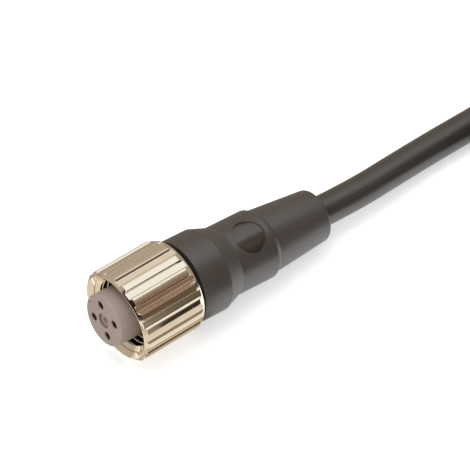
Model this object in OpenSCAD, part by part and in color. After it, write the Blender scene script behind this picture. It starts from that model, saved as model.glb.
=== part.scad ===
// M12 female cordset connector, straight, four poles, moulded on a round cable.
// It lies on its side: the coupling nut rests flat on z = 0 and the loose body leans back in it.
// X runs from the mating face towards the cable, Z is up.

/* [Contact carrier] */
// Diameter of the contact carrier at the mating face
carrier_d = 8.3; // [8.1:0.1:8.6]
// Diameter of the circle that the contacts stand on
contact_pcd = 5; // [4.8:0.1:5.2]
// Diameter of a contact hole in the mating face
hole_d = 1.34; // [1.32:0.02:1.4]
// Diameter of the shallow blind recess in the middle of the face
recess_d = 2.3; // [1.4:0.1:2.6]
// Depth of that recess
recess_depth = 0.6; // [0.2:0.1:1.5]
// Width of the coding keyway
key_w = 1; // [0.6:0.1:1.4]
// Depth of the coding keyway
key_depth = 0.65; // [0.4:0.05:0.8]
// Diameter of the flange that keeps the nut on
flange_d = 10.6; // [10.4:0.05:10.65]
// Thickness of that flange
flange_t = 2; // [1.5:0.1:2.3]
// Distance from the mating face to the front of the flange
flange_s = 8.7; // [8.5:0.1:9]
// Diameter of the neck behind the flange
neck_d = 9; // [8.8:0.05:9.1]
// Length of the carrier inside the grip
tail_l = 3; // [2.5:0.1:4]

/* [Contacts] */
// Bore of a socket contact, for a 1 mm pin
socket_d = 1; // [0.9:0.02:1.1]
// Depth of a contact's mouth behind the mating face
contact_s1 = 1.05; // [0.8:0.05:1.3]
// Outside diameter of a socket contact
contact_d = 1.6; // [1.5:0.05:1.65]
// Depth of the socket
socket_depth = 6.5; // [5:0.5:9]
// Width of the two slits that let the socket spring
slit_w = 0.2; // [0.1:0.05:0.25]
// Length of a solder cup behind the carrier
cup_l = 1.5; // [1:0.1:2]

/* [Face seal] */
// Thickness of the rubber ring
seal_t = 1.1; // [0.8:0.05:1.15]

/* [Coupling nut] */
// Wall of the nut between the relief bore and the lands
nut_wall = 1.3; // [1.2:0.05:1.7]
// Length of the nut
nut_l = 10.9; // [10.7:0.1:11]
// Distance that the mating face stands out of the nut
face_proud = 2.3; // [2.1:0.1:2.4]
// Chamfer at the nut's front, at 45 degrees
nose = 0.55; // [0.4:0.05:0.6]
// Bore at the crests of the M12 x 1 thread
thread_d = 10.92; // [10.9:0.02:11]
// Bore of the smooth lead-in before the thread
lead_in_d = 12.1; // [12:0.05:12.3]
// Distance from the nut's front to the thread
lead_in_l = 1.4; // [1.2:0.1:1.6]
// Length of the threaded stretch
thread_l = 4.6; // [4:0.1:5]
// Bore of the relief behind the thread
relief_d = 12.2; // [12:0.1:12.6]
// Thickness of the inner lip at the back
lip_t = 1.5; // [1.2:0.1:1.7]
// Bore of that lip
lip_d = 10.1; // [10:0.05:10.2]
// Gap between the nut and the moulded grip
nut_gap = 0.8; // [0.7:0.1:1]
// Number of grip grooves around the nut
groove_n = 18; // [14:1:20]
// Width of a groove at its floor
groove_w = 1.05; // [0.8:0.05:1.3]
// Depth of a groove
groove_depth = 0.3; // [0.15:0.05:0.4]

/* [Moulded grip] */
// Diameter of the front barrel
barrel_d = 13.3; // [13:0.1:13.7]
// Length of the front barrel
barrel_l = 4.9; // [4:0.1:6]
// Length of the front cone
cone_l = 3; // [2:0.2:5]
// Diameter of the middle barrel
waist_d = 11.2; // [10.6:0.1:11.8]
// Length of the middle barrel
waist_l = 7; // [6.4:0.2:10]
// Length of the small rear step
step_l = 0.85; // [0.7:0.05:1.5]
// Diameter at the start of the tapered sleeve
sleeve_d1 = 10.3; // [9.8:0.1:10.6]
// Diameter at the end of the tapered sleeve
sleeve_d2 = 8.5; // [8.2:0.1:9]
// Length of the tapered sleeve
sleeve_l = 10.8; // [9:0.2:14]
// Rounding of the sleeve's end
sleeve_round = 0.6; // [0.3:0.1:1]
// Diameter of the round flat recess in the middle barrel
dimple_d = 5.4; // [4:0.2:6]
// Depth of that recess at its middle
dimple_depth = 0.7; // [0.65:0.05:1]
// Plain stretch between the front cone and that recess
dimple_lead = 0.8; // [0.2:0.1:1]

/* [Cable] */
// Diameter of the cable
cable_d = 5; // [4.8:0.1:5.2]
// Length of the cable's jacket inside the grip
jacket_in = 15; // [10:1:18]
// Diameter of an insulated core
core_d = 1.2; // [1:0.05:1.3]
// Diameter of a bare conductor
wire_d = 0.7; // [0.5:0.05:0.75]
// Length of a stripped core at the open end, with its tip
strip_l = 30; // [24:1:32]
// Length of the bare tip
tip_l = 6; // [4:1:8]
// Radius of the cable's line in the innermost folds of the hank
fold_r = 15; // [15:0.5:20]
// Distance between the middles of the hank's two ends
hank_run = 45; // [40:5:60]
// Thickness of the strap that ties the hank
strap_t = 0.8; // [0.5:0.1:1]
// Width of that strap
strap_w = 2.5; // [2:0.1:4]

/* [Lie] */
// Angle at which the loose body leans in the nut
lean = 5.4; // [0:0.2:5.4]
// Distance that the body lies to one side in the nut
body_side = 0.15; // [0:0.05:0.15]
// Turn of the body about its own axis
body_roll = 22.25; // [0:1:90]
// Turn of the nut about its own axis
nut_roll = 3.2; // [0:0.2:20]

/* [Hidden] */
$fn = 96;

// Stations s are measured from the mating face along the body's axis.
fit_gap = 0.02;                          // clearance of parts that are pushed on
cut = 1;                                 // how far a cutting shape stands out of what it cuts
nut_d = relief_d + 2 * nut_wall;         // diameter over the lands
nut_s1 = face_proud;
nut_s2 = nut_s1 + nut_l;
rim = 0.1;                               // flat ring between the nut's front chamfer and its mouth
mouth_d = nut_d - 2 * (nose + rim);
neck_s1 = flange_s + flange_t;
grip_s1 = nut_s2 + nut_gap;
carrier_s2 = grip_s1 + tail_l;
cup_s2 = carrier_s2 + cup_l;
barrel_s2 = grip_s1 + barrel_l;
cone_s2 = barrel_s2 + cone_l;
waist_s2 = cone_s2 + waist_l;
step_s2 = waist_s2 + step_l;
grip_s2 = step_s2 + sleeve_l;
cable_s1 = grip_s2 - jacket_in;

// The body leans about this station, which is at this x in the frame. It comes to rest
// on the rear edge of its front barrel, and the nut on its lands, unless the body lifts it.
pivot_s = 9.3;
pivot_x = -11;
nut_play = 0.2;                          // how far the body can stand above the nut's axis
body_z = (barrel_s2 - pivot_s) * sin(lean) + barrel_d / 2 * cos(lean);
nut_z = max(nut_d / 2, body_z - nut_play);

contact_play = 0.14;
cavity_d = contact_d + contact_play;
core_side = 0.75;                        // how far each core lies to the side of the cable's middle, and above or below it
core_tilt = atan((contact_pcd / 2 - core_side * sqrt(2)) / (cable_s1 - cup_s2));

// Points on the cable's centre line, from inside the grip to the start of the hank.
ROUTE = [
    [5.25, -0.15, 5.99], [9.5, -0.15, 5.59], [14.5, -0.15, 5.11], [20.1, -0.15, 4.58], [24.5, -0.14, 4.19],
    [28.5, -0.08, 3.88], [32, 0.08, 3.62], [35.5, 0.35, 3.36], [39.5, 0.65, 3.06], [43.5, 0.9, 2.8],
    [48.5, 1.08, 2.58], [53.5, 1.1, 2.5], [58.5, 1.1, 2.5], [64, 1.1, 2.5], [70, 1.1, 2.5]
];

// The hank is a flat winding with round ends: two laps beside each other, two more on
// them, and a last part of a lap in the valley between those.
hank_start = ROUTE[len(ROUTE) - 1];
hank_x1 = hank_start.x;
hank_y = hank_start.y - fold_r - cable_d;
laps = 2;                                // beside each other, and on each other
hank_r1 = fold_r - cable_d / 2;
hank_r2 = hank_r1 + laps * cable_d;
layer_z = laps * cable_d;
end_z = (3 + sqrt(3)) * cable_d / 2;
top_z = end_z + cable_d / 2;
tie_back = 20;                           // from the hank's far turning point to the tie
end_back = 10;                           // and to the jacket's end, on the hank's far side
tie_x = hank_x1 + hank_run - tie_back;
end_x = hank_x1 + hank_run - end_back;
end_y = hank_y - fold_r - cable_d / 2;
tie_head = [4.4, 4.6, 2.6];
tie_tail = 5;

COLOURS = ["sienna", "white", "royalblue", "dimgray"];

// ---- shapes that repeat ----

// A solid turned about Z from points [radius, station].
module turned(points) {
    rotate_extrude() polygon(points);
}

// A quarter-round corner, as points [radius, station], from the side to the end.
function round_end(r, s, fillet) =
    [for (a = [0 : 15 : 90]) [r - fillet + fillet * cos(a), s - fillet + fillet * sin(a)]];

// Places what is drawn about Z from the mating face onto the leaning body's axis.
module on_body() {
    translate([pivot_x, -body_side, body_z])
        rotate([0, 90 + lean, 0])
            rotate([0, 0, body_roll])
                translate([0, 0, -pivot_s]) children();
}

// The same for the nut, whose axis is level.
module on_nut() {
    translate([pivot_x, 0, nut_z])
        rotate([0, 90, 0])
            rotate([0, 0, nut_roll])
                translate([0, 0, -pivot_s]) children();
}

// Moves what is drawn on Z to the place of contact i, counted from 0.
module at_contact(i) {
    rotate([0, 0, 45 + 90 * i]) translate([contact_pcd / 2, 0, 0]) children();
}

// A tube swept along points, with rings square to the path.
function unit(v) = v / norm(v);
function along(p, i) =
    unit(p[min(i + 1, len(p) - 1)] - p[max(i - 1, 0)]);
function ring(p, i, r, sides) =
    let (t = along(p, i), u = unit(cross([0, 0, 1], t)), v = cross(t, u))
    [for (k = [0 : sides - 1]) p[i] + r * (cos(360 * k / sides) * u + sin(360 * k / sides) * v)];

module swept(p, r, sides) {
    n = len(p);
    polyhedron(
        points = [for (i = [0 : n - 1]) each ring(p, i, r, sides)],
        faces = concat(
            [[for (k = [0 : sides - 1]) k]],
            [for (i = [0 : n - 2]) for (k = [0 : sides - 1])
                let (a = i * sides + k, b = i * sides + (k + 1) % sides)
                each [[a, a + sides, b], [b, a + sides, b + sides]]],
            [[for (k = [sides - 1 : -1 : 0]) (n - 1) * sides + k]]
        )
    );
}

// ---- carrier ----

// The part of the carrier that the grip is moulded round, with its anchoring groove.
function tail_points() = [
    [0, grip_s1], [neck_d / 2, grip_s1],
    [neck_d / 2, grip_s1 + tail_l / 3], [neck_d / 2 - 0.5, grip_s1 + tail_l / 3],
    [neck_d / 2 - 0.5, grip_s1 + 2 * tail_l / 3], [neck_d / 2, grip_s1 + 2 * tail_l / 3],
    [neck_d / 2, carrier_s2], [0, carrier_s2]
];

module contact_carrier() {
    edge = 0.3;
    mouth = 0.1;
    color([0.66, 0.61, 0.58]) on_body() difference() {
        turned(concat(
            [[0, 0], [carrier_d / 2 - edge, 0], [carrier_d / 2, edge],
             [carrier_d / 2, flange_s], [flange_d / 2, flange_s],
             [flange_d / 2, neck_s1], [neck_d / 2, neck_s1]],
            [for (i = [1 : len(tail_points()) - 1]) tail_points()[i]]
        ));
        for (i = [0 : 3]) at_contact(i) {
            translate([0, 0, -cut]) cylinder(d = hole_d, h = contact_s1 + 2 * cut);
            cylinder(d1 = hole_d + 2 * mouth, d2 = hole_d, h = mouth);
            translate([0, 0, contact_s1]) cylinder(d = cavity_d, h = carrier_s2);
        }
        translate([0, 0, -cut]) cylinder(d = recess_d, h = cut + recess_depth);
        translate([-key_w / 2, carrier_d / 2 - key_depth, -cut])
            cube([key_w, key_depth + cut, flange_s - 1.5 * seal_t + cut]);
    }
}

// ---- contacts ----

// A turned socket with two slits, a collar that seats in the carrier and a solder cup.
module contact(i) {
    r = contact_d / 2;
    color([0.83, 0.68, 0.36]) on_body() at_contact(i) difference() {
        turned([
            [0, contact_s1], [r - 0.1, contact_s1], [r, contact_s1 + 0.2],
            [r, flange_s], [cavity_d / 2, flange_s], [cavity_d / 2, neck_s1],
            [r, neck_s1], [r, cup_s2], [0, cup_s2]
        ]);
        translate([0, 0, contact_s1 - cut]) cylinder(d = socket_d, h = socket_depth + cut);
        translate([-contact_d, -slit_w / 2, contact_s1 - cut]) cube([2 * contact_d, slit_w, socket_depth]);
        translate([0, 0, cup_s2 - cup_l]) cylinder(d = wire_d + 2 * fit_gap, h = cup_l + cut);
    }
}

// ---- seal ----

module face_seal() {
    color([0.16, 0.15, 0.15]) on_body()
        translate([0, 0, flange_s - seal_t / 2 - fit_gap])
            rotate_extrude() translate([carrier_d / 2 + seal_t / 2 + fit_gap, 0]) circle(d = seal_t, $fn = 32);
}

// ---- nut ----

module nut_blank() {
    edge = 0.2;
    back = 0.35;
    ramp = 0.5;                          // run-out at each end of the thread
    r = nut_d / 2;
    thread_s1 = nut_s1 + lead_in_l;
    thread_s2 = thread_s1 + thread_l;
    turned([
        [mouth_d / 2, nut_s1], [r - nose, nut_s1], [r, nut_s1 + nose],
        [r, nut_s2 - back], [r - back, nut_s2],
        [lip_d / 2 + edge, nut_s2], [lip_d / 2, nut_s2 - edge],
        [lip_d / 2, nut_s2 - lip_t], [relief_d / 2, nut_s2 - lip_t], [relief_d / 2, thread_s2],
        [thread_d / 2, thread_s2 - ramp], [thread_d / 2, thread_s1 + ramp],
        [lead_in_d / 2, thread_s1], [lead_in_d / 2, nut_s1 + (mouth_d - lead_in_d) / 2]
    ]);
}

// A straight groove with sloping flanks, open at both ends of the nut.
module groove() {
    floor_r = nut_d / 2 - groove_depth;
    flank = 0.12;
    translate([0, 0, nut_s1 - cut]) linear_extrude(nut_l + 2 * cut)
        polygon([
            [floor_r, -groove_w / 2], [nut_d, -groove_w / 2 - flank * (nut_d - floor_r) / groove_depth],
            [nut_d, groove_w / 2 + flank * (nut_d - floor_r) / groove_depth], [floor_r, groove_w / 2]
        ]);
}

module coupling_nut() {
    color([0.84, 0.79, 0.68]) on_nut() difference() {
        nut_blank();
        for (i = [0 : groove_n - 1])
            rotate([0, 0, 180 + 360 * i / groove_n]) groove();
    }
}

// ---- grip ----

// The core's insulation, straight from its solder cup to the end of the cable's jacket.
module core_run(i) {
    difference() {
        at_contact(i) translate([0, 0, cup_s2]) rotate([0, -core_tilt, 0])
            cylinder(d = core_d, h = (cable_s1 - cup_s2) / cos(core_tilt) + core_d, $fn = 64);
        for (s = [cable_s1, cup_s2 - cable_d])
            translate([-cable_d, -cable_d, s]) cube([2 * cable_d, 2 * cable_d, cable_d]);
    }
}

module grip_body() {
    corner = 0.3;
    color([0.25, 0.23, 0.22]) on_body() difference() {
        turned(concat(
            [[0, grip_s1], [barrel_d / 2 - corner, grip_s1], [barrel_d / 2, grip_s1 + corner],
             [barrel_d / 2, barrel_s2], [waist_d / 2, cone_s2], [waist_d / 2, waist_s2],
             [sleeve_d1 / 2, step_s2]],
            round_end(sleeve_d2 / 2, grip_s2, sleeve_round),
            [[0, grip_s2]]
        ));
        turned(tail_points());
        for (i = [0 : 3]) {
            at_contact(i) translate([0, 0, carrier_s2 - fit_gap]) cylinder(d = contact_d, h = cup_l + fit_gap);
            core_run(i);
        }
        translate([0, 0, cable_s1]) cylinder(d = cable_d, h = grip_s2);
        translate([-waist_d / 2 + dimple_depth, 0, cone_s2 + dimple_lead + dimple_d / 2])
            rotate([0, -90, 0]) cylinder(d = dimple_d, h = waist_d);
    }
}

// ---- cores in the head ----

module head_core(i) {
    color(COLOURS[i]) on_body() {
        core_run(i);
        at_contact(i) translate([0, 0, cup_s2 - cup_l + fit_gap]) cylinder(d = wire_d, h = cup_l, $fn = 64);
    }
}

// ---- cable ----

module cable_lead() {
    color([0.22, 0.2, 0.19]) swept(ROUTE, cable_d / 2, 12);
}

// An outline with round ends, r beyond the line between the two turning points.
module winding_outline(r) {
    hull() {
        circle(r, $fn = 48);
        translate([hank_run, 0]) circle(r, $fn = 48);
    }
}

// The hank's outer shape: two layers all round and a half turn on top.
module hank_shape() {
    translate([hank_x1, hank_y, 0]) {
        linear_extrude(layer_z) difference() {
            winding_outline(hank_r2);
            winding_outline(hank_r1);
        }
        translate([0, 0, layer_z - fit_gap]) linear_extrude(top_z - layer_z + fit_gap) difference() {
            winding_outline(hank_r2 - cable_d / 2);
            winding_outline(hank_r1 + cable_d / 2);
            translate([-hank_r2, -hank_r2]) square([hank_r2, 2 * hank_r2]);
            translate([-cut, -hank_r2]) square([end_x - hank_x1 + cut, hank_r2]);
        }
    }
}

// The strap's loop round one side of the hank.
module strap_loop() {
    mid_y = hank_y + (hank_r1 + hank_r2) / 2;
    w = hank_r2 - hank_r1 + 2 * strap_t;
    h = top_z + strap_t;
    translate([tie_x - strap_w / 2, mid_y, 0]) rotate([90, 0, 90]) linear_extrude(strap_w) difference() {
        translate([-w / 2, 0]) square([w, h]);
        translate([-w / 2 + strap_t, strap_t]) square([w - 2 * strap_t, h - 2 * strap_t]);
    }
}

module cable_hank() {
    color([0.22, 0.2, 0.19]) difference() {
        hank_shape();
        strap_loop();
    }
}

// The strap with its ratchet head on top and a short cut-off tail.
module hank_tie() {
    mid_y = hank_y + (hank_r1 + hank_r2) / 2;
    color([0.12, 0.12, 0.12]) {
        strap_loop();
        translate([tie_x - tie_head.x / 2, mid_y - tie_head.y / 2, top_z + strap_t]) cube(tie_head);
        translate([tie_x - strap_w / 2, mid_y - tie_head.y / 2 - tie_tail, top_z + strap_t + (tie_head.z - strap_t) / 2])
            cube([strap_w, tie_tail, strap_t]);
    }
}

// ---- stripped end ----

// Where core i lies, from the jacket's end at u = 0 to the tip's end at u = 1.
function end_side(i) = [-1, 1, 1, -1][i];
function end_up(i) = [1, 1, -1, -1][i];
function end_fan(i) = [-4, 4, 1.4, -1.4][i];
function settle(u) = let (v = min(1, u)) v * v * (3 - 2 * v);
function end_point(i, u) = let (low_z = layer_z + core_d / 2 + 2 * fit_gap) [
    end_x - strip_l * u,
    end_y + core_side * end_side(i) + (end_fan(i) - core_side * end_side(i)) * settle(1.5 * u),
    low_z + (end_z + core_side * end_up(i) - low_z) * (1 - settle(1.2 * u))
];

module end_core(i) {
    last = 1 - tip_l / strip_l;
    color(COLOURS[i])
        swept([for (k = [0 : 9]) end_point(i, last * k / 9)], core_d / 2, 8);
}

module end_tip(i) {
    first = 1 - tip_l / strip_l;
    color([0.8, 0.79, 0.77])
        swept([for (k = [0 : 3]) end_point(i, first + (1 - first) * k / 3)], wire_d / 2, 8);
}

// ---- everything ----

coupling_nut();
contact_carrier();
face_seal();
grip_body();
contact(0);  // contact_1
contact(1);  // contact_2
contact(2);  // contact_3
contact(3);  // contact_4
head_core(0);  // head_core_brown
head_core(1);  // head_core_white
head_core(2);  // head_core_blue
head_core(3);  // head_core_black
cable_lead();
cable_hank();
hank_tie();
end_core(0);  // end_core_brown
end_core(1);  // end_core_white
end_core(2);  // end_core_blue
end_core(3);  // end_core_black
end_tip(0);  // end_tip_brown
end_tip(1);  // end_tip_white
end_tip(2);  // end_tip_blue
end_tip(3);  // end_tip_black
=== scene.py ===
"""M12 female cordset connector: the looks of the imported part, with its cable put away in a tied hank.

Lengths are in millimetres and angles in degrees, and become metres and radians where a mesh is made.
Stations run from the mating face along the axis of the body or of the nut. Angles round an axis run
from up towards -Y.
"""
import logging
import math
from dataclasses import dataclass, field
from enum import Enum
from typing import Callable, Iterable, Sequence

import bmesh
import bpy
from mathutils import Matrix, Vector


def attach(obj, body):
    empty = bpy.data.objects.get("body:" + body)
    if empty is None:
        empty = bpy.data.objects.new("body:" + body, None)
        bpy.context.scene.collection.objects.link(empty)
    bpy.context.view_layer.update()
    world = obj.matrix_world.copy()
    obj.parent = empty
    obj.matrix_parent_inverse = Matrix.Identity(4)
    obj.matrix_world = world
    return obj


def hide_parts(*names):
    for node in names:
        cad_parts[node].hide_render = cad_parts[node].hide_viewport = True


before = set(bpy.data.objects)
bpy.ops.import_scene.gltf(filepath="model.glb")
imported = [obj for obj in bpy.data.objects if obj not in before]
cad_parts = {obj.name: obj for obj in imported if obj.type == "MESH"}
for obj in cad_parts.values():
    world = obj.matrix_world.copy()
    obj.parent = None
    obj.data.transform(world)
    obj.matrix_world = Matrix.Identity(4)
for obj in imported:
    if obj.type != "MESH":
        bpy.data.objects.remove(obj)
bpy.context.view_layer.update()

LOG = logging.getLogger("m12_connector")

Mesh, Object, Material = bpy.types.Mesh, bpy.types.Object, bpy.types.Material
Node, Socket, NodeTree = bpy.types.Node, bpy.types.NodeSocket, bpy.types.NodeTree
Pair = tuple[float, float]
Point = tuple[float, float, float]
Colour = tuple[float, float, float]
Profile = list[Pair]
Rule = Callable[[Vector], float]

MM = 0.001
# The radius over the nut's lands, and that of the cable.
NUT_R = 7.4
CABLE_R = 2.5
# The axes of the nut and of the body are both given at this X, which is this station of each.
PIVOT_X = -11.0
PIVOT_STATION = 9.3
# How far the body is turned about its own axis.
BODY_ROLL = 22.25


class Body(Enum):
    """The two rigid bodies of the part."""

    PLUG = "plug"
    NUT = "nut"


class CoreColour(Enum):
    """The four cores of the cable, in the order of the contacts."""

    BROWN = "brown"
    WHITE = "white"
    BLUE = "blue"
    BLACK = "black"


@dataclass(frozen=True)
class Axis:
    """A straight axis that leans down towards the cable."""

    lean: float
    pivot: Point

    def matrix(self) -> Matrix:
        """Returns the place of a shape drawn with X up, Y towards the frame's -Y and Z along the stations."""
        angle = math.radians(self.lean)
        along = Vector((math.cos(angle), 0, -math.sin(angle)))
        up = Vector((math.sin(angle), 0, math.cos(angle)))
        side = Vector((0, -1, 0))
        origin = (Vector(self.pivot) - along * PIVOT_STATION) * MM
        return Matrix([[up[i], side[i], along[i], origin[i]] for i in range(3)] + [[0, 0, 0, 1]])


BODY_AXIS = Axis(5.4, (PIVOT_X, -0.15, 7.5239))
NUT_AXIS = Axis(0.0, (PIVOT_X, 0, NUT_R))


# ---- numbers ----


def ramp(value: float, start: float, stop: float) -> float:
    """Returns how far a value has come from start to stop, held between 0 and 1."""
    return min(1.0, max(0.0, (value - start) / (stop - start)))


def eased(share: float) -> float:
    """Returns a share that starts and ends softly, held between 0 and 1."""
    share = ramp(share, 0.0, 1.0)
    return share * share * (3 - 2 * share)


def polar(radius: float, angle: float, station: float) -> Point:
    """Returns the place at a radius and an angle round Z."""
    turn = math.radians(angle)
    return (radius * math.cos(turn), radius * math.sin(turn), station)


# ---- meshes ----


def fillet(corners: Sequence[Point], steps: int = 5) -> Profile:
    """Rounds the corners of an outline.

    Args:
        corners: Points as (radius, station, fillet radius).
        steps: Segments of each rounding.

    Returns:
        The outline's points.
    """
    out: Profile = []
    for i, (x, y, size) in enumerate(corners):
        if size <= 0 or i in (0, len(corners) - 1):
            out.append((x, y))
            continue
        here = Vector((x, y))
        back = Vector(corners[i - 1][:2]) - here
        on = Vector(corners[i + 1][:2]) - here
        half = back.angle(on) / 2
        reach = min(size / math.tan(half), 0.49 * back.length, 0.49 * on.length)
        radius = reach * math.tan(half)
        start, end = here + back.normalized() * reach, here + on.normalized() * reach
        centre = here + (back.normalized() + on.normalized()).normalized() * (radius / math.sin(half))
        first = start - centre
        sweep = first.angle_signed(end - centre)
        for k in range(steps + 1):
            turn = -sweep * k / steps
            cos, sin = math.cos(turn), math.sin(turn)
            out.append((centre.x + first.x * cos - first.y * sin,
                        centre.y + first.x * sin + first.y * cos))
    return out


def new_object(name: str, data: bpy.types.ID) -> Object:
    """Returns a new object in the scene that shows the data."""
    made = bpy.data.objects.new(name, data)
    bpy.context.scene.collection.objects.link(made)
    return made


def held(shape: bmesh.types.BMesh, name: str) -> Mesh:
    """Returns a mesh of the shape, and frees the shape."""
    mesh = bpy.data.meshes.new(name)
    shape.to_mesh(mesh)
    shape.free()
    return mesh


def revolve(profile: Profile, sides: int) -> Mesh:
    """Turns an outline about Z.

    Args:
        profile: Points as (radius, station), from pole to pole or as a closed loop.
        sides: Columns round the axis.

    Returns:
        A closed mesh in metres.
    """
    shape = bmesh.new()
    rings: list[list[bmesh.types.BMVert]] = []
    for radius, station in profile:
        around = [polar(radius, 360 * k / sides, station) for k in range(sides if radius > 0 else 1)]
        rings.append([shape.verts.new([c * MM for c in point]) for point in around])
    pairs = list(zip(rings, rings[1:]))
    if len(rings[0]) > 1:
        pairs.append((rings[-1], rings[0]))
    for low, high in pairs:
        for k in range(sides):
            n = k + 1
            corners = [low[k % len(low)], low[n % len(low)], high[n % len(high)], high[k % len(high)]]
            unique = list(dict.fromkeys(corners))
            if len(unique) > 2:
                shape.faces.new(unique)
    bmesh.ops.recalc_face_normals(shape, faces=shape.faces)
    return held(shape, "turned")


def skin(name: str, rows: Sequence[Sequence[Point]], around: bool = False, along: bool = False,
         ends: bool = False) -> Mesh:
    """Joins rows of points with faces, which are turned outwards where they close a solid.

    Args:
        name: The mesh's name.
        rows: The points in millimetres, as many in each row.
        around: Each row is a closed ring.
        along: The last row joins the first.
        ends: The first and the last row are filled.

    Returns:
        The mesh in metres.
    """
    shape = bmesh.new()
    grid = [[shape.verts.new([c * MM for c in point]) for point in row] for row in rows]
    if ends:
        shape.faces.new(grid[0])
        shape.faces.new(grid[-1])
    pairs = list(zip(grid, grid[1:]))
    if along:
        pairs.append((grid[-1], grid[0]))
    for low, high in pairs:
        for k in range(len(low) if around else len(low) - 1):
            n = (k + 1) % len(low)
            shape.faces.new((low[k], low[n], high[n], high[k]))
    if along or ends:
        bmesh.ops.recalc_face_normals(shape, faces=shape.faces)
    return held(shape, name)


def block(low: Sequence[float], high: Sequence[float], soft: float = 0.0) -> Mesh:
    """Returns a box between two corners, with its edges rounded."""
    shape = bmesh.new()
    bmesh.ops.create_cube(shape, size=1.0)
    for vertex in shape.verts:
        vertex.co = Vector((a + (b - a) * (c + 0.5) for a, b, c in zip(low, high, vertex.co))) * MM
    if soft > 0:
        bmesh.ops.bevel(shape, geom=shape.edges, offset=soft * MM, segments=3, profile=0.5, affect="EDGES")
    return held(shape, "block")


def tidy(mesh: Mesh, angle: float = 32.0, gap: float = 1e-7) -> None:
    """Merges doubles, turns faces outwards and smooths all edges under an angle.

    Args:
        mesh: The mesh, which is changed.
        angle: Edges sharper than this stay sharp.
        gap: Distance under which vertices are merged, in metres.
    """
    shape = bmesh.new()
    shape.from_mesh(mesh)
    bmesh.ops.remove_doubles(shape, verts=shape.verts, dist=gap)
    bmesh.ops.recalc_face_normals(shape, faces=shape.faces)
    shape.to_mesh(mesh)
    shape.free()
    mesh.shade_smooth()
    mesh.set_sharp_from_angle(angle=math.radians(angle))


def joined(name: str, parts: Iterable[Mesh]) -> Mesh:
    """Returns one mesh of several."""
    shape = bmesh.new()
    for part in parts:
        shape.from_mesh(part)
    return held(shape, name)


def evaluated(made: Object) -> Mesh:
    """Returns a plain mesh of the object with its modifiers applied, and removes the object."""
    graph = bpy.context.evaluated_depsgraph_get()
    mesh = bpy.data.meshes.new_from_object(made.evaluated_get(graph))
    made.modifiers.clear()
    bpy.data.objects.remove(made)
    return mesh


def cut_out(body: Mesh, cutters: Iterable[Mesh]) -> Mesh:
    """Takes solid shapes out of a solid.

    Args:
        body: A closed mesh.
        cutters: Closed meshes to take away.

    Returns:
        The mesh that is left.
    """
    made = new_object("cut_body", body)
    tools = [new_object("cutter", mesh) for mesh in cutters]
    for tool in tools:
        cut = made.modifiers.new("cut", "BOOLEAN")
        cut.operation = "DIFFERENCE"
        cut.solver = "EXACT"
        cut.object = tool
    mesh = evaluated(made)
    for tool in tools:
        bpy.data.objects.remove(tool)
    return mesh


def laid(mesh: Mesh, axis: Axis, rule: Rule) -> Mesh:
    """Marks a mask on a turned shape for the finishes to read (painted shade on the nut and the carrier, the
    round recess on the grip), and lays it on its axis.

    Args:
        mesh: The mesh, with Z along the stations, which is changed.
        axis: The axis of its body.
        rule: Returns the mask at a place in millimetres, from 0 to 1.

    Returns:
        The same mesh.
    """
    shares = mesh.attributes.new("recess", "FLOAT", "POINT")
    for vertex, share in zip(mesh.vertices, shares.data):
        share.value = rule(vertex.co / MM)
    mesh.transform(axis.matrix())
    return mesh


def placed(mesh: Mesh, roll: float, radius: float = 0.0) -> Mesh:
    """Moves a shape out from the axis and turns it round it; returns the same mesh."""
    mesh.transform(Matrix.Rotation(math.radians(roll), 4, "Z") @ Matrix.Translation((radius * MM, 0, 0)))
    return mesh


# ---- Geometry Nodes ----


class Repeat:
    """A Geometry Nodes tree that sets copies of a piece on points, makes them real and dresses them."""

    def __init__(self, name: str, own: str, kind: str) -> None:
        """Builds the tree.

        Args:
            name: The tree's name.
            own: The input that only this kind of repeat has.
            kind: The type of that input.
        """
        self.tree = bpy.data.node_groups.new(name, "GeometryNodeTree")
        face = self.tree.interface
        self.inputs = [
            face.new_socket(label, in_out="INPUT", socket_type=f"NodeSocket{form}")
            for label, form in (("Piece", "Geometry"), ("Count", "Int"), (own, kind), ("Finish", "Material"))]
        face.new_socket("Copies", in_out="OUTPUT", socket_type="NodeSocketGeometry")
        self.given = self.add("NodeGroupInput")
        place, real = self.add("GeometryNodeInstanceOnPoints"), self.add("GeometryNodeRealizeInstances")
        dress, out = self.add("GeometryNodeSetMaterial"), self.add("NodeGroupOutput")
        self.link(self.given.outputs["Piece"], place.inputs["Instance"])
        self.set_points(place)
        self.link(place.outputs[0], real.inputs[0])
        self.link(self.welded(real.outputs[0]), dress.inputs["Geometry"])
        self.link(self.given.outputs["Finish"], dress.inputs["Material"])
        self.link(dress.outputs[0], out.inputs[0])

    def add(self, kind: str) -> Node:
        """Adds a node."""
        return self.tree.nodes.new(kind)

    def link(self, start: Socket, end: Socket) -> None:
        """Links two sockets."""
        self.tree.links.new(start, end)

    def set_points(self, place: Node) -> None:
        """Links the points that the copies stand on."""
        raise NotImplementedError

    def welded(self, copies: Socket) -> Socket:
        """Returns the copies, as they are."""
        return copies

    def apply(self, piece: Mesh, count: int, own: object, finish: Material) -> Mesh:
        """Repeats a piece.

        Args:
            piece: The first copy, in its place.
            count: Number of copies.
            own: Value of the input that only this kind of repeat has.
            finish: The material of the result.

        Returns:
            A plain mesh of all the copies.
        """
        made = new_object("repeat", piece)
        nodes = made.modifiers.new("repeat", "NODES")
        nodes.node_group = self.tree
        for socket, value in zip(self.inputs[1:], (count, own, finish)):
            nodes[socket.identifier] = value
        return evaluated(made)


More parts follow.
